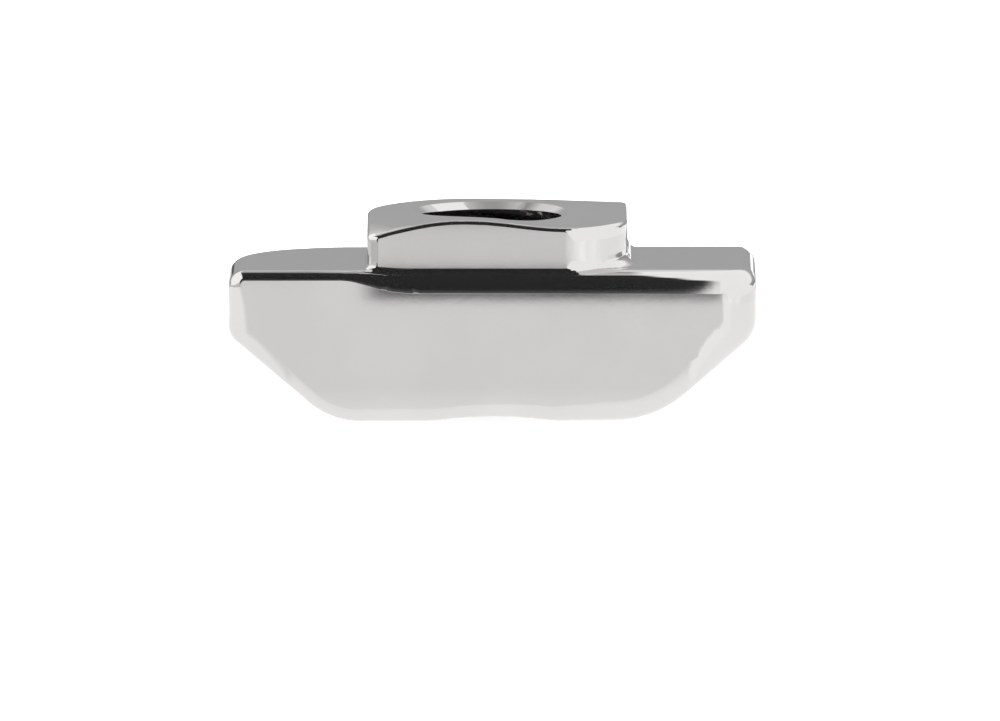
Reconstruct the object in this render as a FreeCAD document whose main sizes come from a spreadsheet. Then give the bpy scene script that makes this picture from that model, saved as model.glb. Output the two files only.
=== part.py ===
import FreeCAD, Part
import math
import os
from FreeCAD import Vector
import Sketcher

# Hammer head T slot nut, one solid of cold headed steel.
# X runs along the head, Y across it and Z up through the collar.
# The origin is on the hole's axis, level with the underside.

SIZES = {
    # Head
    "head_length": 16.0,
    "head_width": 7.9,
    "head_height": 4.6,
    "slope_start_height": 2.6,
    "slope_angle": 39.8,
    "left_slope_top_round": 0.6,
    "right_slope_top_round": 1.1,
    "left_foot_round": 2.4,
    "right_foot_round": 3.4,
    "relief_width": 3.5,
    "relief_depth": 0.13,
    "relief_shoulder_round": 6.0,
    "turning_corner_round": 3.9,
    # Soft edges of the head
    "fine_edge_round": 0.29,
    "fine_edge_end": 4.6,
    "half_edge_round": 0.56,
    "half_edge_place": 3.4,
    "broad_edge_round": 0.69,
    "broad_edge_start": 2.2,
    "end_edge_round": 0.5,
    "left_post_top_round": 0.3,
    "left_post_foot_round": 0.62,
    "right_post_round": 1.05,
    "right_slope_round": 0.65,
    "left_slope_round": 0.4,
    "foot_edge_round": 0.42,
    "rear_edge_round": 0.4,
    # Collar
    "collar_length": 7.9,
    "collar_width": 7.0,
    "collar_height": 1.5,
    "collar_offset": 0.15,
    "collar_turning_round": 3.3,
    "collar_blunt_round": 1.9,
    "collar_post_round": 0.35,
    "front_base_round": 0.14,
    "end_base_round": 0.4,
    "rim_round": 0.12,
    # Fall of the collar's top towards its corners
    "crown_left_start": 1.5,
    "crown_right_start": 0.2,
    "hollow_place": 2.4,
    "crown_overrun": 0.3,
    "front_left_fall": 0.62,
    "near_left_fall": 0.2,
    "middle_left_fall": 0.08,
    "back_left_fall": 0.06,
    "front_hollow": 0.28,
    "near_hollow": 0.25,
    "middle_hollow": 0.09,
    "back_hollow": 0.08,
    "front_right_fall": 0.08,
    "near_right_fall": 0.1,
    "middle_right_fall": 0.08,
    "back_right_fall": 0.15,
    # Hole for the thread
    "bore_diameter": 4.2,
    "sink_diameter": 4.9,
    "sink_half_angle": 60.0,
    "foot_sink_depth": 0.3,
}

# Room left beyond the solid by cutting shapes, and the distance at which two points count as one
CLEAR = 1.0
NEAR = 1e-3

# Where the crown's inner sections stand, as shares of the collar's half width
NEAR_PLACE = -0.43
MIDDLE_PLACE = 0.14
# How much of a fall each pole of a crown section carries
LEFT_RUN_OUT = 1.8
LEFT_HALF_WAY = 0.4
HOLLOW_START = 0.1
HOLLOW_BOTTOM = 1.2

doc = FreeCAD.newDocument("t_slot_nut")
sheet = doc.addObject("Spreadsheet::Sheet", "dims")
for row, (name, value) in enumerate(SIZES.items(), 1):
    sheet.set(f"A{row}", name)
    sheet.set(f"B{row}", str(value))
    sheet.setAlias(f"B{row}", name)
doc.recompute()


class Size:
    """A length with both its value and the formula that ties it to the sheet."""

    def __init__(self, value, formula):
        self.value = value
        self.formula = formula

    def join(self, other, sign, value):
        return Size(value, f"({self.formula} {sign} {as_size(other).formula})")

    def __add__(self, other):
        return self.join(other, "+", self.value + as_size(other).value)

    def __sub__(self, other):
        return self.join(other, "-", self.value - as_size(other).value)

    def __mul__(self, other):
        return self.join(other, "*", self.value * as_size(other).value)

    def __truediv__(self, other):
        return self.join(other, "/", self.value / as_size(other).value)

    def __neg__(self):
        return Size(-self.value, f"(0 - {self.formula})")


def as_size(x):
    return x if isinstance(x, Size) else Size(float(x), f"{float(x)}")


def dim(name):
    return Size(float(sheet.get(name)), f"dims.{name}")


def tan(angle):
    return Size(math.tan(math.radians(angle.value)), f"tan({angle.formula} * 1 deg)")


def new_sketch(body, name, role, offset_z=None):
    sketch = body.newObject("Sketcher::SketchObject", name)
    plane = next(f for f in body.Origin.OriginFeatures if f.Role == role)
    sketch.AttachmentSupport = [(plane, "")]
    sketch.MapMode = "FlatFace"
    if offset_z is not None:
        sketch.setExpression("AttachmentOffset.Base.z", offset_z.formula)
    return sketch


def hold(sketch, kind, datum, *where):
    index = sketch.addConstraint(Sketcher.Constraint(kind, *where, datum.value))
    sketch.setExpression(f"Constraints[{index}]", datum.formula)


def outline(sketch, corners):
    """Draws a closed outline. A corner is (x, y), or (x, y, radius, centre) where an arc leaves it."""
    points = [tuple(as_size(v) for v in corner[:2]) for corner in corners]
    spots = [Vector(x.value, y.value, 0) for x, y in points]
    firsts = []
    for i, corner in enumerate(corners):
        start, end = spots[i], spots[(i + 1) % len(spots)]
        firsts.append(1)
        if len(corner) == 2:
            sketch.addGeometry(Part.LineSegment(start, end))
            continue
        radius = corner[2].value
        centre = Vector(*(as_size(v).value for v in corner[3]), 0)
        middle = centre + ((start + end) * 0.5 - centre).normalize() * radius
        # A sketch's arc runs anticlockwise, so a clockwise one is drawn from its far end.
        if (middle - start).cross(end - middle).z < 0:
            start, end = end, start
            firsts[i] = 2
        sketch.addGeometry(Part.Arc(start, middle, end))
    for i, (x, y) in enumerate(points):
        after = (i + 1) % len(points)
        sketch.addConstraint(Sketcher.Constraint("Coincident", i, 3 - firsts[i], after, firsts[after]))
        hold(sketch, "DistanceX", x, -1, 1, i, firsts[i])
        hold(sketch, "DistanceY", y, -1, 1, i, firsts[i])
        if len(corners[i]) > 2:
            hold(sketch, "Radius", corners[i][2], i)


def picked(shape, test):
    return [f"Edge{i}" for i, e in enumerate(shape.Edges, 1) if test(e)]


def ends(edge):
    return edge.valueAt(edge.FirstParameter), edge.valueAt(edge.LastParameter)


def middle_of(edge):
    return edge.valueAt((edge.FirstParameter + edge.LastParameter) / 2)


def across(edge, x, z):
    """True for a straight edge that crosses the head at this x and this z."""
    p, q = ends(edge)
    return abs(p.y - q.y) > NEAR and all(abs(v.x - x) < NEAR and abs(v.z - z) < NEAR for v in (p, q))


def across_both(edge, x, z):
    return across(edge, x, z) or across(edge, -x, z)


def rounded(body, name, previous, test, radius):
    fillet = body.newObject("PartDesign::Fillet", name)
    fillet.Base = (previous, picked(previous.Shape, test))
    fillet.Refine = False
    fillet.setExpression("Radius", radius.formula)
    doc.recompute()
    return fillet


half_length = dim("head_length") / 2
half_width = dim("head_width") / 2
height = dim("head_height")
slope_z = dim("slope_start_height")
foot_x = half_length - slope_z / tan(dim("slope_angle"))
relief_x = dim("relief_width") / 2
relief_z = dim("relief_depth")
relief_radius = (relief_x * relief_x + relief_z * relief_z) / (relief_z * 2)
fine_x = -dim("fine_edge_end")
half_x = -dim("half_edge_place")
broad_x = -dim("broad_edge_start")

# Head: the side view, drawn through its width, with a shallow relief under the hole.
# The top line has three extra corners where the front edge changes its softness.
head = doc.addObject("PartDesign::Body", "head")
side = new_sketch(head, "side_view", "XZ_Plane")
outline(
    side,
    [
        (-half_length, height),
        (fine_x, height),
        (half_x, height),
        (broad_x, height),
        (half_length, height),
        (half_length, slope_z),
        (foot_x, 0),
        (relief_x, 0, relief_radius, (0, relief_z - relief_radius)),
        (-relief_x, 0),
        (-foot_x, 0),
        (-half_length, slope_z),
    ],
)
blank = head.newObject("PartDesign::Pad", "blank")
blank.Profile = side
blank.Midplane = True
blank.Refine = False
blank.setExpression("Length", "dims.head_width")
doc.recompute()

step = rounded(
    head, "relief_shoulders", blank,
    lambda e: across_both(e, relief_x.value, 0), dim("relief_shoulder_round"),
)
step = rounded(
    head, "left_foot", step, lambda e: across(e, -foot_x.value, 0), dim("left_foot_round")
)
step = rounded(
    head, "right_foot", step, lambda e: across(e, foot_x.value, 0), dim("right_foot_round")
)
step = rounded(
    head, "left_slope_top", step,
    lambda e: across(e, -half_length.value, slope_z.value), dim("left_slope_top_round"),
)
step = rounded(
    head, "right_slope_top", step,
    lambda e: across(e, half_length.value, slope_z.value), dim("right_slope_top_round"),
)

# The corner that swings past the slot's wall is round in plan.
turn = dim("turning_corner_round")
swing = new_sketch(head, "turning_corner", "XY_Plane")
outline(
    swing,
    [
        (-half_length, half_width - turn, turn, (turn - half_length, half_width - turn)),
        (turn - half_length, half_width),
        (turn - half_length, half_width + CLEAR),
        (-half_length - CLEAR, half_width + CLEAR),
        (-half_length - CLEAR, half_width - turn),
    ],
)
cut = head.newObject("PartDesign::Pocket", "turning_corner_cut")
cut.Profile = swing
cut.Type = "ThroughAll"
cut.Midplane = True
cut.Refine = False
doc.recompute()


def along(x, stops):
    """The edge radius at x, straight between the stops."""
    for (x0, r0), (x1, r1) in zip(stops, stops[1:]):
        if x <= x1:
            return r0 + (r1 - r0) * max(0.0, x - x0) / (x1 - x0)
    return stops[-1][1]


# Every edge of the head is soft. The front one is fine at its left end and broad from there on,
# and the edge below runs from fine at the left post to broad at the right one.
def soft_edges(shape):
    x_end = half_length.value
    y_face = half_width.value
    z_top = height.value
    fine, broad = dim("fine_edge_round").value, dim("broad_edge_round").value
    foot, rear = dim("foot_edge_round").value, dim("rear_edge_round").value
    blunt = dim("right_post_round").value
    end_round = dim("end_edge_round").value
    half = dim("half_edge_round").value
    top_stops = [
        (-x_end, fine), (fine_x.value, fine), (half_x.value, half), (broad_x.value, broad), (x_end, broad),
    ]
    back_stops = [(-x_end, end_round), (broad_x.value, end_round), (x_end, fine)]
    angle = math.radians(dim("slope_angle").value)
    bend = math.tan(angle / 2) * math.cos(angle)
    left_bend = -foot_x.value - dim("left_foot_round").value * bend
    right_bend = foot_x.value + dim("right_foot_round").value * bend
    top_bend = dim("right_slope_top_round").value * math.tan(math.pi / 4 - angle / 2) * math.cos(angle)
    low_stops = [
        (-x_end, dim("left_post_foot_round").value),
        (left_bend, dim("left_slope_round").value),
        (0.0, foot),
        (right_bend, dim("right_slope_round").value),
        (x_end - top_bend, blunt),
        (x_end, blunt),
    ]
    post_top = dim("left_post_top_round").value

    def low_radius(v):
        left_post_top = v.x < NEAR - x_end and abs(v.z - z_top) < NEAR
        return post_top if left_post_top else along(v.x, low_stops)

    cx = turn.value - x_end
    cy = y_face - turn.value

    def on_swing(v):
        return abs(math.hypot(v.x - cx, v.y - cy) - turn.value) < NEAR

    radii = []
    for i, e in enumerate(shape.Edges, 1):
        p, q = ends(e)
        middle = middle_of(e)
        front = all(abs(v.y + y_face) < NEAR for v in (p, q))
        back = all(abs(v.y - y_face) < NEAR for v in (p, q))
        top = all(abs(v.z - z_top) < NEAR for v in (p, q))
        swept = all(on_swing(v) for v in (p, q, middle))
        upright = math.hypot(p.x - q.x, p.y - q.y) < NEAR
        inner_seam = abs(p.x - q.x) < NEAR and abs(p.x) < x_end - NEAR
        if front and top:
            radii.append((i, along(p.x, top_stops), along(q.x, top_stops)))
        elif back and top:
            radii.append((i, along(p.x, back_stops), along(q.x, back_stops)))
        elif front:
            radii.append((i, low_radius(p), low_radius(q)))
        elif top and not inner_seam:
            radii.append((i, end_round, end_round))
        elif (back and not (swept and upright)) or (swept and not upright):
            radii.append((i, rear, rear))
    return radii


soft = doc.addObject("Part::Fillet", "soft_head")
soft.Base = head
soft.Edges = soft_edges(head.Shape)
doc.recompute()

# Collar: a square boss that fills the slot's mouth, with the same two corners round in plan.
collared = doc.addObject("PartDesign::Body", "collared_head")
collared.BaseFeature = soft
doc.recompute()
reach = dim("collar_length") / 2
offset = dim("collar_offset")
left_x = offset - reach
right_x = offset + reach
collar_y = dim("collar_width") / 2
collar_top = height + dim("collar_height")
swing_r = dim("collar_turning_round")
blunt_r = dim("collar_blunt_round")
plan = new_sketch(collared, "collar_plan", "XY_Plane", height - CLEAR)
outline(
    plan,
    [
        (left_x, -collar_y),
        (right_x - blunt_r, -collar_y, blunt_r, (right_x - blunt_r, blunt_r - collar_y)),
        (right_x, blunt_r - collar_y),
        (right_x, collar_y),
        (left_x + swing_r, collar_y, swing_r, (left_x + swing_r, collar_y - swing_r)),
        (left_x, collar_y - swing_r),
    ],
)
collar = collared.newObject("PartDesign::Pad", "collar")
collar.Profile = plan
collar.setExpression("Length", (dim("collar_height") + CLEAR + CLEAR).formula)
doc.recompute()


def upright_at(e, x, y):
    p, q = ends(e)
    return all(abs(v.x - x) < NEAR and abs(v.y - y) < NEAR for v in (p, q)) and max(p.z, q.z) > height.value


posts = rounded(
    collared, "collar_posts", collar,
    lambda e: upright_at(e, left_x.value, -collar_y.value) or upright_at(e, right_x.value, collar_y.value),
    dim("collar_post_round"),
)

# The collar's top is filled out round the hole. It falls away to its left corners, most at the
# front one, and has a shallow hollow in front of the hole on the right. Four cross sections, front
# to back, give the surface; each has one smooth lower line that runs past the collar's sides.
flat_left = -dim("crown_left_start")
flat_right = dim("crown_right_start")
dip_x = dim("hollow_place")
past_left = left_x - CLEAR
past_right = right_x + CLEAR
cover = collar_top + CLEAR + CLEAR


def crown_section(name, y, left_fall, hollow, right_fall):
    sketch = new_sketch(collared, name, "XZ_Plane", -y)
    poles = [
        (past_left, left_fall * LEFT_RUN_OUT),
        (left_x, left_fall),
        ((left_x + flat_left) / 2, left_fall * LEFT_HALF_WAY),
        (flat_left, as_size(0)),
        ((flat_left + flat_right) / 2, as_size(0)),
        (flat_right, hollow * HOLLOW_START),
        (dip_x, hollow * HOLLOW_BOTTOM),
        (right_x, right_fall),
        (past_right, right_fall),
    ]
    spots = [Vector(x.value, collar_top.value - fall.value, 0) for x, fall in poles]
    curve = Part.BSplineCurve()
    curve.buildFromPoles(spots)
    sketch.addGeometry(curve)
    corner_right = Vector(past_right.value, cover.value, 0)
    corner_left = Vector(past_left.value, cover.value, 0)
    sketch.addGeometry(Part.LineSegment(spots[-1], corner_right))
    sketch.addGeometry(Part.LineSegment(corner_right, corner_left))
    sketch.addGeometry(Part.LineSegment(corner_left, spots[0]))
    for first, last in ((0, 1), (1, 2), (2, 3), (3, 0)):
        sketch.addConstraint(Sketcher.Constraint("Coincident", first, 2, last, 1))
    for line_index, x in ((2, past_right), (3, past_left)):
        hold(sketch, "DistanceX", x, -1, 1, line_index, 1)
        hold(sketch, "DistanceY", cover, -1, 1, line_index, 1)
    before = sketch.GeometryCount
    sketch.exposeInternalGeometry(0)
    for i, (x, fall) in enumerate(poles):
        hold(sketch, "DistanceX", x, -1, 1, before + i, 3)
        hold(sketch, "DistanceY", collar_top - fall, -1, 1, before + i, 3)
    return sketch


front_y = -collar_y - dim("crown_overrun")
places = (
    ("front", front_y),
    ("near", collar_y * NEAR_PLACE),
    ("middle", collar_y * MIDDLE_PLACE),
    ("back", -front_y),
)
sections = [
    crown_section(
        f"crown_{place}", y, dim(f"{place}_left_fall"), dim(f"{place}_hollow"), dim(f"{place}_right_fall")
    )
    for place, y in places
]
crown = collared.newObject("PartDesign::SubtractiveLoft", "crown")
crown.Profile = sections[0]
crown.Sections = sections[1:]
crown.Ruled = False
doc.recompute()


walls = Part.Wire(Part.__sortEdges__([g.toShape() for g in plan.Geometry]))


def on_wall(v):
    """True on one of the collar's upright walls, in plan."""
    return walls.distToShape(Part.Vertex(v.x, v.y, 0))[0] < dim("collar_post_round").value / 2


def on_collar(e, low, high):
    """True for an edge round the collar between two heights, and not for the upright ones."""
    p, q = ends(e)
    level = math.hypot(p.x - q.x, p.y - q.y) > NEAR
    return level and all(low < v.z < high and on_wall(v) for v in (p, q, middle_of(e)))


# The rim of the collar is finely rounded. So is its foot along the front, and more so at the right
# end and the back, with the change over the front right corner and the round corner at the back.
def round_collar(shape):
    low_rim = collar_top.value - dim("front_left_fall").value - dim("collar_post_round").value
    ledge = height.value
    rim = dim("rim_round").value
    fine_foot = dim("front_base_round").value
    levels = (
        (low_rim, collar_top.value + CLEAR, rim, rim),
        (ledge - fine_foot, ledge + NEAR, fine_foot, dim("end_base_round").value),
    )
    front = -collar_y.value
    right_stops = [(front, 0.0), (front + blunt_r.value, 1.0)]
    left_stops = [(front, 0.0), (collar_y.value - swing_r.value, 0.0), (collar_y.value, 1.0)]

    def share(v):
        return along(v.y, right_stops if v.x > 0 else left_stops)

    radii = []
    for i, e in enumerate(shape.Edges, 1):
        for low, high, fine, broad in levels:
            if on_collar(e, low, high):
                radii.append((i, *(fine + (broad - fine) * share(v) for v in ends(e))))
    return radii


soft_collar = doc.addObject("Part::Fillet", "soft_collar")
soft_collar.Base = collared
soft_collar.Edges = round_collar(collared.Shape)
doc.recompute()

nut = doc.addObject("PartDesign::Body", "t_slot_nut")
nut.BaseFeature = soft_collar
doc.recompute()

# Hole: one revolved cut makes the bore at the thread's crest diameter and a sink at each end.
bore_r = dim("bore_diameter") / 2
flare = tan(dim("sink_half_angle"))
sink_depth = (dim("sink_diameter") / 2 - bore_r) / flare
foot_z = dim("foot_sink_depth")
bore_top = collar_top - sink_depth
hole = new_sketch(nut, "hole_section", "XZ_Plane")
outline(
    hole,
    [
        (0, -CLEAR),
        (bore_r + (foot_z + CLEAR) * flare, -CLEAR),
        (bore_r, foot_z),
        (bore_r, bore_top),
        (bore_r + (sink_depth + CLEAR) * flare, collar_top + CLEAR),
        (0, collar_top + CLEAR),
    ],
)
bore = nut.newObject("PartDesign::Groove", "bore")
bore.Profile = hole
bore.ReferenceAxis = (hole, ["V_Axis"])
bore.Angle = 360
doc.recompute()

for item in doc.Objects:
    bad = {"Invalid", "Error"} & set(item.State)
    if bad:
        raise RuntimeError(f"{item.Name} did not build")
if bore.Shape.Volume >= soft_collar.Shape.Volume:
    raise RuntimeError("the hole cut nothing")
shape = nut.Shape
if shape.isNull() or not shape.isValid() or len(shape.Solids) != 1:
    raise RuntimeError("the nut is not one valid solid")
os.makedirs("parts", exist_ok=True)
shape.exportStep("parts/t_slot_nut.step")
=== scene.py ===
import math

import bpy
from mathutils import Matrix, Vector


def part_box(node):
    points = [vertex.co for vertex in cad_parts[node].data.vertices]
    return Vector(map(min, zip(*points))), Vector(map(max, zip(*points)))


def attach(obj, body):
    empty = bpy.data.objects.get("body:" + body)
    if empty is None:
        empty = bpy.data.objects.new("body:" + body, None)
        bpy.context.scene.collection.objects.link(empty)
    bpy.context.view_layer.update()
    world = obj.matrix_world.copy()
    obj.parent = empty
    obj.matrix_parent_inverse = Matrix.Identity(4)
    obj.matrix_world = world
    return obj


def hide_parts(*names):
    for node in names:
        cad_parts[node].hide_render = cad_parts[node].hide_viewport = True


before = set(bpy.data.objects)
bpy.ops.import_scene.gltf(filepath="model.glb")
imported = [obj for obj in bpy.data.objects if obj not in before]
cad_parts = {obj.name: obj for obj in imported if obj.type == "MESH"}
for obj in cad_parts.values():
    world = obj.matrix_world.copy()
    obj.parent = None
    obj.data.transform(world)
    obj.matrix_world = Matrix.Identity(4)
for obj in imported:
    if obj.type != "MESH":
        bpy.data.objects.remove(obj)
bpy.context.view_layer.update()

bl_info = {
    "name": "T slot nut",
    "version": (1, 0, 0),
    "blender": (4, 5, 0),
    "location": "3D View > Sidebar > T slot nut",
    "description": "Plates a hammer head T slot nut, cuts its thread and sets it in a studio",
    "category": "Object",
}

MM = 0.001
NODE = "t_slot_nut"
LOW, HIGH = (Vector(corner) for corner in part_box(NODE))


# Shader maths

class Value:
    """A shader socket on which Python's operators add Math nodes."""

    def __init__(self, tree, socket):
        self.tree = tree
        self.socket = socket

    def math(self, operation, *others):
        return self.tree.node("ShaderNodeMath", {"operation": operation}, [self, *others])

    def __add__(self, other):
        return self.math("ADD", other)

    __radd__ = __add__

    def __sub__(self, other):
        return self.math("SUBTRACT", other)

    def __rsub__(self, other):
        return self.tree.node("ShaderNodeMath", {"operation": "SUBTRACT"}, [other, self])

    def __mul__(self, other):
        return self.math("MULTIPLY", other)

    __rmul__ = __mul__

    def __truediv__(self, other):
        return self.math("DIVIDE", other)

    def __neg__(self):
        return self.math("MULTIPLY", -1.0)

    def __abs__(self):
        return self.math("ABSOLUTE")

    def smooth(self, start, end):
        """0 up to start, 1 from end on and a soft step between. The end may be below the start."""
        return self.tree.node(
            "ShaderNodeMapRange", {"interpolation_type": "SMOOTHSTEP"},
            {"Value": self, "From Min": start, "From Max": end},
        )


class Tree:
    """The node tree of a material or of the world."""

    def __init__(self, owner):
        owner.use_nodes = True
        self.nodes = owner.node_tree.nodes
        self.links = owner.node_tree.links
        self.nodes.clear()

    def plug(self, socket, value):
        if isinstance(value, Value):
            self.links.new(value.socket, socket)
        elif value is not None:
            socket.default_value = value

    def node(self, kind, settings=None, inputs=(), output=0):
        """Adds a node, sets it, fills its sockets and gives one of its outputs."""
        made = self.nodes.new(kind)
        for key, setting in (settings or {}).items():
            setattr(made, key, setting)
        pairs = inputs.items() if isinstance(inputs, dict) else enumerate(inputs)
        for key, value in pairs:
            self.plug(made.inputs[key], value)
        return Value(self, made.outputs[output]) if made.outputs else None

    def place(self):
        """The place on the object."""
        return self.node("ShaderNodeTexCoord", output="Object")

    def ray(self, kind):
        """1 for rays of one kind and 0 for all others."""
        return self.node("ShaderNodeLightPath", output=f"Is {kind} Ray")

    def noise(self, where, scale, detail, rough):
        sizes = {"Vector": where, "Scale": scale, "Detail": detail, "Roughness": rough}
        return self.node("ShaderNodeTexNoise", {}, sizes)

    def split(self, vector):
        """The three parts of a vector."""
        made = self.nodes.new("ShaderNodeSeparateXYZ")
        self.plug(made.inputs[0], vector)
        return [Value(self, output) for output in made.outputs]

    def mix(self, factor, a, b):
        """A colour between a and b."""
        made = self.nodes.new("ShaderNodeMix")
        made.data_type = "RGBA"
        for index, value in ((0, factor), (6, a), (7, b)):
            self.plug(made.inputs[index], value)
        return Value(self, made.outputs[2])

    def ramp(self, factor, stops):
        """A grey level that runs through (place, level) stops."""
        made = self.nodes.new("ShaderNodeValToRGB")
        marks = made.color_ramp.elements
        while len(marks) < len(stops):
            marks.new(0.5)
        for mark, (place, level) in zip(marks, stops):
            mark.position = place
            mark.color = grey(level)
        self.plug(made.inputs[0], factor)
        return Value(self, made.outputs[0])

    def emission(self, colour):
        return self.node("ShaderNodeEmission", {}, {"Color": colour, "Strength": 1.0})


def grey(level):
    return (level, level, level, 1.0)


def new_material(name):
    material = bpy.data.materials.new(name)
    return material, Tree(material)


# Settings that a user would change

class NutSettings(bpy.types.PropertyGroup):
    plating: bpy.props.FloatVectorProperty(
        name="Plating", description="Colour that the nickel gives its reflections",
        subtype="COLOR", size=3, min=0.0, max=1.0, default=(0.625, 0.612, 0.606),
    )
    polish: bpy.props.FloatProperty(
        name="Roughness", description="How much the plating softens a reflection",
        subtype="FACTOR", min=0.0, max=1.0, default=0.04,
    )
    pitch: bpy.props.FloatProperty(
        name="Pitch", description="Rise of the thread in one turn", unit="LENGTH", default=0.8 * MM,
    )
    crest: bpy.props.FloatProperty(
        name="Crest radius", description="Inner radius of the thread", unit="LENGTH", default=2.1 * MM,
    )
    root: bpy.props.FloatProperty(
        name="Root radius", description="Radius at the bottom of the thread's groove",
        unit="LENGTH", default=2.44 * MM,
    )
    start: bpy.props.FloatProperty(
        name="Thread start", description="Height of the groove at the right of the hole, within a turn",
        unit="LENGTH", default=0.59 * MM,
    )


class StudioSettings(bpy.types.PropertyGroup):
    tilt: bpy.props.FloatProperty(
        name="Camera tilt", description="How far the camera looks down", subtype="ANGLE",
        default=math.radians(5.9),
    )
    lens: bpy.props.FloatProperty(
        name="Lens", description="Focal length of the camera", unit="CAMERA", default=1200.0,
    )
    span: bpy.props.FloatProperty(
        name="Picture width", description="Width of the picture at the nut", unit="LENGTH",
        default=30.4 * MM,
    )
    aim: bpy.props.FloatVectorProperty(
        name="Aim", description="Point that the camera looks at", subtype="TRANSLATION", size=3,
        default=(0.228 * MM, 0.0, 1.48 * MM),
    )


# Nut

# Noises over the plating, as scale, detail and roughness
CLOUDS = (420.0, 3.0, 0.55)
RIPPLES = (900.0, 2.0, 0.5)
GRAINS = (6000.0, 2.0, 0.6)
# Where a cloud begins and where it is full, and the share of light that the plating gives outside clouds
CLOUD_EDGE = (0.35, 0.7)
DULL = 0.97
# How far clouds and grains change the roughness
CLOUD_ROUGH = 0.015
GRAIN_ROUGH = 0.01
# Height of the ripples with the grains on them, in metres, and the share of the ripples in it
RELIEF = 0.35e-6
RIPPLE_SHARE = 0.8
METAL = 0.985

# Angle of the groove's flanks to a plane across the thread's axis
FLANK_ANGLE = math.radians(30.0)
# How far the cutter of the groove stands into the empty hole
CUT_SPARE = 0.1 * MM
STEPS_PER_TURN = 72
# Distance at which two vertices count as one
WELD = 1e-7

# Faces that differ by less than this angle are joined to one flat
FLAT_ANGLE = math.radians(0.3)
# Faces above this area stay flat in the shading
FLAT_AREA = 1.5 * MM * MM
# Edges above this angle stay sharp, the sink's rim of 30 degrees among them
SHARP_ANGLE = math.radians(29.5)
# Places along x, y and z, in millimetres, where the long rounded edges are split, so that each part of
# an edge shades by the curve next to it
SPLITS = (
    (-7.4, -7.0, -6.4, -5.6, -4.6, -3.8, -3.2, -2.4, -1.0, 0.5, 2.0, 2.6, 3.4, 4.2, 5.0, 6.0, 6.5, 6.9),
    (-3.0, -2.0, -1.0, 0.0, 1.0, 2.0, 3.0),
    (0.5, 1.2, 2.0, 2.8, 3.6, 4.9, 5.4),
)


def plating_material(settings):
    """Bright nickel: soft reflections, a faint ripple left by the forging and fine rubbed marks."""
    material, tree = new_material("bright_nickel")
    where = tree.place()
    cloud = tree.noise(where, *CLOUDS)
    grain = tree.noise(where, *GRAINS)
    ripple = tree.noise(where, *RIPPLES)
    base = (*settings.plating, 1.0)
    dull = tuple(DULL * c for c in settings.plating) + (1.0,)
    colour = tree.mix(cloud.smooth(*CLOUD_EDGE), dull, base)
    rough = settings.polish + CLOUD_ROUGH * (cloud - 0.5) + GRAIN_ROUGH * (grain - 0.5)
    height = RIPPLE_SHARE * ripple + (1.0 - RIPPLE_SHARE) * grain
    bump = tree.node("ShaderNodeBump", {}, {"Strength": 1.0, "Distance": RELIEF, "Height": height})
    metal = tree.node(
        "ShaderNodeBsdfPrincipled", {},
        {"Base Color": colour, "Metallic": METAL, "Roughness": rough, "Normal": bump},
    )
    tree.node("ShaderNodeOutputMaterial", {}, {"Surface": metal})
    return material


def only(obj):
    """Makes obj the one selected and active object."""
    bpy.ops.object.select_all(action="DESELECT")
    obj.select_set(True)
    bpy.context.view_layer.objects.active = obj


def in_edit(obj, work):
    only(obj)
    bpy.ops.object.mode_set(mode="EDIT")
    work()
    bpy.ops.object.mode_set(mode="OBJECT")


def merged_copy(name):
    """A copy of the node with one vertex where several met."""
    only(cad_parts[NODE])
    bpy.ops.object.duplicate()
    body = bpy.context.object
    body.name = body.data.name = name

    def weld():
        bpy.ops.mesh.customdata_custom_splitnormals_clear()
        bpy.ops.mesh.select_all(action="SELECT")
        bpy.ops.mesh.remove_doubles(threshold=WELD)

    in_edit(body, weld)
    return body


def groove_cutter(settings):
    """A right-hand helix with the section of the thread's groove, longer than the hole at both ends."""
    depth = settings.root - settings.crest + CUT_SPARE
    flank = math.tan(FLANK_ANGLE)
    # The groove is half a pitch wide at the crest, and its flanks run on into the empty hole.
    mouth = settings.pitch * 0.5 + 2 * CUT_SPARE * flank
    foot = mouth - 2 * depth * flank
    inner = settings.crest - CUT_SPARE
    bpy.ops.object.select_all(action="DESELECT")
    start = LOW.z - settings.pitch + settings.start
    bpy.ops.mesh.primitive_plane_add(
        size=1.0, location=(inner + depth / 2, 0.0, start), rotation=(math.pi / 2, 0.0, 0.0),
    )
    cutter = bpy.context.object
    cutter.name = "groove_cutter"
    cutter.scale = (depth, mouth, 1.0)
    bpy.ops.object.transform_apply(location=True, rotation=True, scale=True)

    def narrow():
        bpy.ops.mesh.select_all(action="DESELECT")
        bpy.ops.object.mode_set(mode="OBJECT")
        for vertex in cutter.data.vertices:
            vertex.select = vertex.co.x > inner + depth / 2
        bpy.ops.object.mode_set(mode="EDIT")
        middle = (inner + depth, 0.0, start)
        bpy.ops.transform.resize(value=(1.0, 1.0, foot / mouth), center_override=middle)

    in_edit(cutter, narrow)
    turns = math.ceil((HIGH.z - LOW.z) / settings.pitch) + 2
    helix = cutter.modifiers.new("helix", "SCREW")
    helix.angle = 2 * math.pi * turns
    helix.screw_offset = settings.pitch * turns
    helix.steps = helix.render_steps = STEPS_PER_TURN * turns
    only(cutter)
    bpy.ops.object.modifier_apply(modifier=helix.name)

    def close():
        bpy.ops.mesh.select_all(action="SELECT")
        bpy.ops.mesh.remove_doubles(threshold=WELD)
        bpy.ops.mesh.fill_holes(sides=4)
        bpy.ops.mesh.select_all(action="SELECT")
        bpy.ops.mesh.normals_make_consistent(inside=False)

    in_edit(cutter, close)
    return cutter


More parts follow.
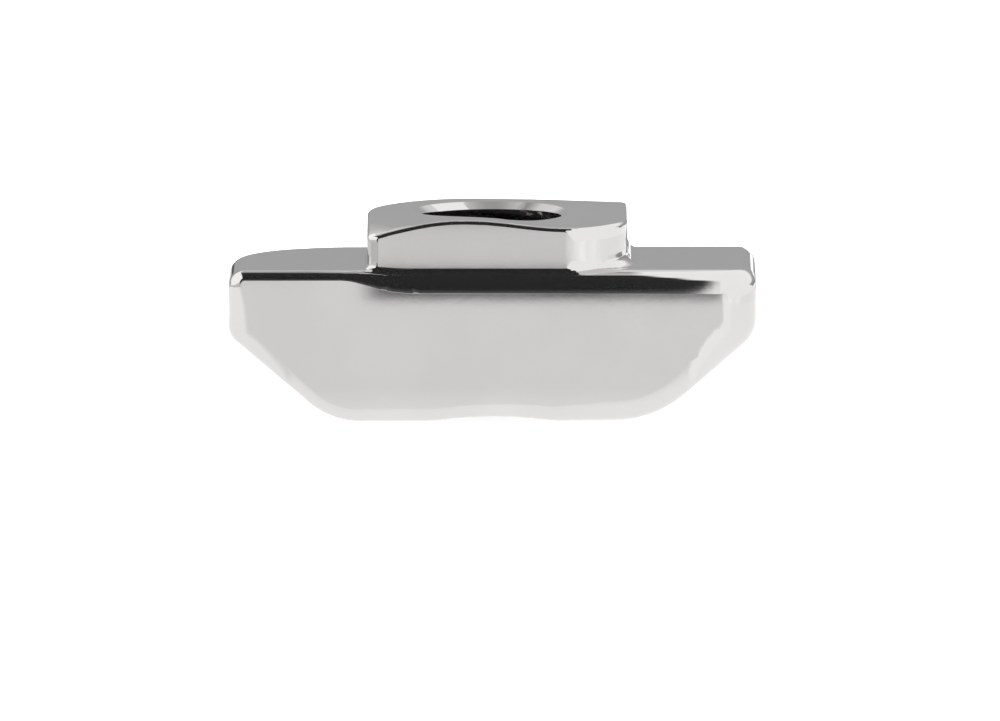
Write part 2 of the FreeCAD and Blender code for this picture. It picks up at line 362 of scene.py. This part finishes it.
def cut_thread(body, settings):
    cutter = groove_cutter(settings)
    cut = body.modifiers.new("thread", "BOOLEAN")
    cut.operation = "DIFFERENCE"
    cut.solver = "EXACT"
    cut.object = cutter
    only(body)
    bpy.ops.object.modifier_apply(modifier=cut.name)
    bpy.data.objects.remove(cutter)


def shade(body):
    """Keeps the flats flat in the shading and gives all the turning to the rounded edges between them."""

    def join_flats():
        bpy.ops.mesh.select_all(action="SELECT")
        bpy.ops.mesh.dissolve_limited(angle_limit=FLAT_ANGLE)

    in_edit(body, join_flats)
    bpy.context.tool_settings.mesh_select_mode = (False, False, True)
    for face in body.data.polygons:
        face.select = face.area > FLAT_AREA

    def split_edges():
        bpy.ops.mesh.mod_weighted_strength(set=True, face_strength="STRONG")
        bpy.ops.mesh.hide()
        for axis, places in enumerate(SPLITS):
            across = Vector([float(axis == i) for i in range(3)])
            for place in places:
                bpy.ops.mesh.select_all(action="SELECT")
                bpy.ops.mesh.bisect(plane_co=across * place * MM, plane_no=across, threshold=WELD)
        bpy.ops.mesh.reveal(select=False)

    in_edit(body, split_edges)
    bpy.ops.object.shade_smooth_by_angle(angle=SHARP_ANGLE)
    weight = body.modifiers.new("face_weight", "WEIGHTED_NORMAL")
    weight.keep_sharp = True
    weight.use_face_influence = True
    bpy.ops.object.modifier_apply(modifier=weight.name)


class NUT_OT_body(bpy.types.Operator):
    """Makes the plated nut and cuts its thread"""

    bl_idname = "nut.body"
    bl_label = "Nut"

    def execute(self, context):
        settings = context.scene.nut_settings
        body = merged_copy("plated_nut")
        cut_thread(body, settings)
        shade(body)
        body.data.materials.clear()
        body.data.materials.append(plating_material(settings))
        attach(body, "root")
        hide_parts(NODE)
        return {"FINISHED"}


# Studio

FLOOR_RADIUS = 3.0
# The room that the plating reflects is a low dome.
ROOM_SIZE = 90 * MM
ROOM_HEIGHT = 30 * MM
# Lamps that light the paper: name, place, width in metres and power in watts
LAMPS = (
    ("top_lamp", (0.0, 0.1, 0.5), 0.5, 3.0),
    ("left_lamp", (-0.4, -0.1, 0.25), 0.3, 1.0),
    ("right_lamp", (0.4, -0.1, 0.25), 0.3, 1.0),
)
# Colour of the paper, the light that it gives the camera, and the room's plain light
PAPER = 0.8
PAPER_GLOW = 0.55
ROOM_LIGHT = 0.5

# The head's front top edge
EDGE_Y = -3.6 * MM
EDGE_Z = 4.3 * MM
# Light of the dome, by degrees round that edge from the front horizon over the top to the back
ROOM = (
    (0, 0.1), (5, 0.08), (14, 0.03), (20, 0.015), (97, 0.015), (101, 0.7), (110, 0.7), (112, 0.33),
    (122, 0.33), (127, 0.85), (136, 0.95), (150, 0.95), (160, 0.5), (180, 0.38),
)
# The same over the nut's left end
ROOM_LEFT = (
    (0, 0.1), (5, 0.08), (14, 0.03), (20, 0.015), (97, 0.015), (104, 0.4), (130, 0.4), (136, 0.95),
    (150, 0.95), (160, 0.5), (180, 0.38),
)
# The two x between which the left end's light runs into the rest
LEFT_END = (-6 * MM, -4 * MM)
# Length that counts as 1 in the tables of borders and distances
REACH = 100 * MM
# Borders of the bright curtain at the right and of the bright panel at the left, as shares of the reach
# from the middle, by the same degrees, and how soft they are
CURTAIN = (
    (0, 0.069), (60, 0.069), (68, 0.064), (84, 0.054), (100, 0.045), (130, 0.045), (145, 0.1), (155, 0.8),
)
PANEL = (
    (0, 0.4), (15, 0.28), (30, 0.19), (60, 0.17), (100, 0.17), (130, 0.16), (145, 0.12), (152, 0.12),
    (160, 0.8),
)
BORDER = 0.003
CURTAIN_LIGHT = 1.3
PANEL_LIGHT = 1.4
# The panel's foot is dimmer, beyond and below these borders
FOOT_X = (24 * MM, 34 * MM)
FOOT_Z = (11 * MM, 7 * MM)
FOOT_LIGHT = 0.8

# Light of the paper in reflections, by shares of the reach ahead of the nut
NEAR = ((0, 1.25), (0.01, 1.22), (0.045, 1.1), (0.1, 1.0))
AHEAD = (
    (0.348, 1.0), (0.364, 0.8), (0.37, 0.56), (0.376, 0.31), (0.382, 0.17), (0.44, 0.13), (0.445, 0.24),
    (0.451, 0.5), (0.457, 0.6), (0.463, 0.67), (0.475, 0.9), (0.59, 0.92), (0.62, 0.4), (0.7, 0.15),
    (1.0, 0.12),
)
# Left end of the dark strip on the paper
STRIP = (-4.4 * MM, -3.4 * MM)
# Light of the paper by degrees off the front, beside the head's left and right ends and the collar's
# right end
HEAD_LEFT = ((0, 1.0), (8, 1.05), (24, 1.25), (180, 1.25))
HEAD_RIGHT = ((0, 1.0), (3, 1.1), (7, 1.3), (24, 1.3), (34, 1.25), (180, 1.25))
COLLAR_RIGHT = ((0, 0.92), (4, 1.0), (17, 1.2), (32, 1.4), (42, 1.24), (56, 1.35), (70, 1.2), (180, 1.2))
# The same beside the collar's left end, where it is one level
COLLAR_LEFT = 0.72
# Centres of the roundings at the front corners of the head, left and right alike, and of the collar
HEAD_X = 6.95 * MM
HEAD_Y = -2.9 * MM
COLLAR_RIGHT_X = 2.35 * MM
COLLAR_LEFT_X = -3.4 * MM
COLLAR_Y = -3.3 * MM
# How far past these centres, along x, the light beside them comes in
HEAD_BORDER = (0.0, 0.5 * MM)
RIGHT_BORDER = (1 * MM, 3 * MM)
LEFT_BORDER = (1 * MM, 4 * MM)
# Distances on the paper between which the head's reflections end and those of the collar's corners begin
RIGHT_DIVIDE = (40 * MM, 44 * MM)
LEFT_DIVIDE = (43.5 * MM, 45 * MM)
# The paper is dim far behind the nut, from its left end to a border at the right.
BEHIND_Y = (36 * MM, 42 * MM)
BEHIND_X = (35 * MM, 25 * MM)
BEHIND_LIGHT = 0.35


def turns(table):
    """A table by degrees as the stops of a ramp over half a turn."""
    return [(angle / 180.0, level) for angle, level in table]


def floor_material():
    """Pale paper, which reflections see brighter beside the nut and dark in a strip ahead of it."""
    material, tree = new_material("paper")
    x, y, _ = tree.split(tree.place())

    def around(along, centre_x, centre_y, table):
        """Light by the direction from a point at the nut."""
        angle = (along - centre_x).math("ARCTAN2", centre_y - y).math("MAXIMUM", 0.0)
        return tree.ramp(angle / math.pi, turns(table))

    def apart(centre):
        """Distance from a corner of the collar."""
        return ((x - centre) * (x - centre) + (y - COLLAR_Y) * (y - COLLAR_Y)).math("SQRT")

    ahead = (LOW.y - y) / REACH
    front = tree.ramp(ahead, NEAR) + x.smooth(*STRIP) * (tree.ramp(ahead, AHEAD) - 1.0)
    head = around(x, HEAD_X, HEAD_Y, HEAD_RIGHT).math("MAXIMUM", around(-x, HEAD_X, HEAD_Y, HEAD_LEFT))
    near = front + (abs(x) - HEAD_X).smooth(*HEAD_BORDER) * (head - front)
    right = (x - COLLAR_RIGHT_X).smooth(*RIGHT_BORDER)
    left = (COLLAR_LEFT_X - x).smooth(*LEFT_BORDER) * apart(COLLAR_LEFT_X).smooth(*LEFT_DIVIDE)
    beside = front + right * (around(x, COLLAR_RIGHT_X, COLLAR_Y, COLLAR_RIGHT) - front)
    far = beside * (1.0 - left * (1.0 - COLLAR_LEFT))
    shone = near + apart(COLLAR_RIGHT_X).smooth(*RIGHT_DIVIDE) * (far - near)
    behind = y.smooth(*BEHIND_Y) * x.smooth(*LEFT_END) * x.smooth(*BEHIND_X)
    shine = tree.emission(shone + behind * (BEHIND_LIGHT - shone))

    paper = tree.node("ShaderNodeBsdfDiffuse", {}, {"Color": grey(PAPER)})
    lit = tree.node("ShaderNodeAddShader", {}, [paper, tree.emission(grey(PAPER_GLOW))])
    shown = tree.node("ShaderNodeMixShader", {}, [tree.ray("Camera"), paper, lit])
    surface = tree.node("ShaderNodeMixShader", {}, [tree.ray("Glossy"), shown, shine])
    tree.node("ShaderNodeOutputMaterial", {}, [surface])
    return material


def dome_material():
    """The room that the plating reflects: dark above the front, light behind and at both sides."""
    material, tree = new_material("soft_boxes")
    x, y, z = tree.split(tree.place())
    over = (z - EDGE_Z).math("ARCTAN2", EDGE_Y - y) / math.pi
    room = tree.mix(x.smooth(*LEFT_END), tree.ramp(over, turns(ROOM_LEFT)), tree.ramp(over, turns(ROOM)))
    curtain = (x / REACH - tree.ramp(over, turns(CURTAIN))).smooth(-BORDER, BORDER)
    panel = (-x / REACH - tree.ramp(over, turns(PANEL))).smooth(-BORDER, BORDER)
    foot = (-x).smooth(*FOOT_X) * z.smooth(*FOOT_Z)
    sides = tree.mix(panel, tree.mix(curtain, room, grey(CURTAIN_LIGHT)), grey(PANEL_LIGHT))
    tree.node("ShaderNodeOutputMaterial", {}, [tree.emission(tree.mix(foot, sides, grey(FOOT_LIGHT)))])
    return material


def soft_lamp(name, place, width, power):
    """An area lamp that faces the nut, lights the paper and is not reflected."""
    bpy.ops.object.light_add(type="AREA", location=place)
    lamp = bpy.context.object
    lamp.name = name
    lamp.data.shape = "DISK"
    lamp.data.size = width
    lamp.data.energy = power
    lamp.rotation_euler = (-Vector(place)).to_track_quat("-Z", "Y").to_euler()
    lamp.visible_glossy = False


class NUT_OT_studio(bpy.types.Operator):
    """Sets the paper, the soft boxes, the lamps and the camera"""

    bl_idname = "nut.studio"
    bl_label = "Studio"

    def execute(self, context):
        bpy.ops.object.select_all(action="DESELECT")
        self.floor(context)
        self.dome(context)
        for lamp in LAMPS:
            soft_lamp(*lamp)
        self.world(context)
        self.camera(context)
        context.scene.view_settings.view_transform = "Standard"
        return {"FINISHED"}

    def floor(self, context):
        bpy.ops.mesh.primitive_circle_add(
            vertices=96, radius=FLOOR_RADIUS, fill_type="NGON", location=(0, 0, LOW.z),
        )
        floor = context.object
        floor.name = "paper_floor"
        floor.data.materials.append(floor_material())

    def dome(self, context):
        """Only reflections see the dome."""
        bpy.ops.mesh.primitive_uv_sphere_add(segments=96, ring_count=48, radius=ROOM_SIZE)
        dome = context.object
        dome.name = "soft_box_dome"
        dome.scale.z = ROOM_HEIGHT / ROOM_SIZE
        bpy.ops.object.transform_apply(location=False, rotation=False, scale=True)
        dome.data.materials.append(dome_material())
        for kind in ("camera", "diffuse", "transmission", "volume_scatter", "shadow"):
            setattr(dome, f"visible_{kind}", False)

    def world(self, context):
        """Plain light from all round, and white where the camera sees it."""
        world = bpy.data.worlds.new("room")
        context.scene.world = world
        tree = Tree(world)
        colour = tree.mix(tree.ray("Camera"), grey(ROOM_LIGHT), grey(1.0))
        room = tree.node("ShaderNodeBackground", {}, {"Color": colour, "Strength": 1.0})
        tree.node("ShaderNodeOutputWorld", {}, [room])

    def camera(self, context):
        settings = context.scene.studio_settings
        bpy.ops.object.camera_add()
        camera = context.object
        camera.name = "photo_camera"
        camera.data.lens = settings.lens
        camera.data.sensor_width = 36.0
        camera.data.clip_start = 0.01
        camera.data.clip_end = 20.0
        distance = settings.span * settings.lens / camera.data.sensor_width
        away = Vector((0.0, -math.cos(settings.tilt), math.sin(settings.tilt)))
        camera.location = Vector(settings.aim) + away * distance
        camera.rotation_euler = (math.pi / 2 - settings.tilt, 0.0, 0.0)
        context.scene.camera = camera


class NUT_PT_panel(bpy.types.Panel):
    """Lists the nut's settings and pieces"""

    bl_label = "T slot nut"
    bl_idname = "NUT_PT_panel"
    bl_space_type = "VIEW_3D"
    bl_region_type = "UI"
    bl_category = "T slot nut"

    def draw(self, context):
        layout = self.layout
        for group in (context.scene.nut_settings, context.scene.studio_settings):
            for name in group.__annotations__:
                layout.prop(group, name)
        layout.operator(NUT_OT_body.bl_idname)
        layout.operator(NUT_OT_studio.bl_idname)


CLASSES = (NutSettings, StudioSettings, NUT_OT_body, NUT_OT_studio, NUT_PT_panel)


def register():
    for kind in CLASSES:
        bpy.utils.register_class(kind)
    bpy.types.Scene.nut_settings = bpy.props.PointerProperty(type=NutSettings)
    bpy.types.Scene.studio_settings = bpy.props.PointerProperty(type=StudioSettings)


def unregister():
    del bpy.types.Scene.nut_settings
    del bpy.types.Scene.studio_settings
    for kind in reversed(CLASSES):
        bpy.utils.unregister_class(kind)


def main():
    register()
    bpy.ops.nut.body()
    bpy.ops.nut.studio()


if __name__ == "__main__":
    main()
